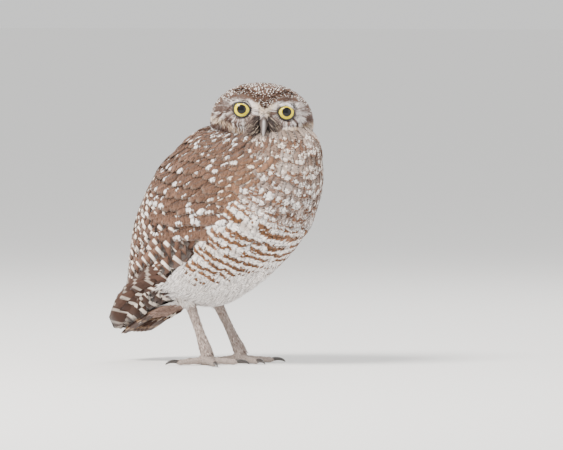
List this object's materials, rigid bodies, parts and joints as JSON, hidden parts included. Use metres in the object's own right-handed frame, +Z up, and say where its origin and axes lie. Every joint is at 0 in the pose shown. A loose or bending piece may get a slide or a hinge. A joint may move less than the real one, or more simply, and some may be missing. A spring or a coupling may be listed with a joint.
{
  "type": "burrowing owl figure",
  "caption": "Life-size still model of a standing burrowing owl with its head turned to its right, folded wings, long legs and a short tail",
  "frame": {"origin": "on the ground, under the middle of the whole owl's bounding box", "axes": "+Z up, -Y the way the body faces, +X the owl's left; the head is turned to the owl's right"},
  "size_m": [0.1162, 0.1942, 0.2255],
  "materials": {
    "plumage": "soft brown feathers with pale spots, matt",
    "breast": "soft whitish feathers barred with brown, matt",
    "leg": "scaly skin thinly set with bristle feathers, matt",
    "bill": "smooth horn, half gloss",
    "claw": "dark horn, half gloss",
    "eye": "wet and shiny, yellow iris with a black pupil"
  },
  "bodies": {
    "root": {"bill_lower": "bill", "bill_upper": "bill", "claw_left_hind": "claw", "claw_left_inner": "claw", "claw_left_middle": "claw", "claw_left_outer": "claw", "claw_right_hind": "claw", "claw_right_inner": "claw", "claw_right_middle": "claw", "claw_right_outer": "claw", "eye_left": "eye", "eye_right": "eye", "foot_left": "leg", "foot_right": "leg", "head": "plumage", "neck": "plumage", "shank_left": "leg", "shank_right": "leg", "tail": "plumage", "thigh_left": "breast", "thigh_right": "breast", "toe_left_hind": "leg", "toe_left_inner": "leg", "toe_left_middle": "leg", "toe_left_outer": "leg", "toe_right_hind": "leg", "toe_right_inner": "leg", "toe_right_middle": "leg", "toe_right_outer": "leg", "torso": "breast", "wing_left": "plumage", "wing_right": "plumage"}
  },
  "joints": []
}
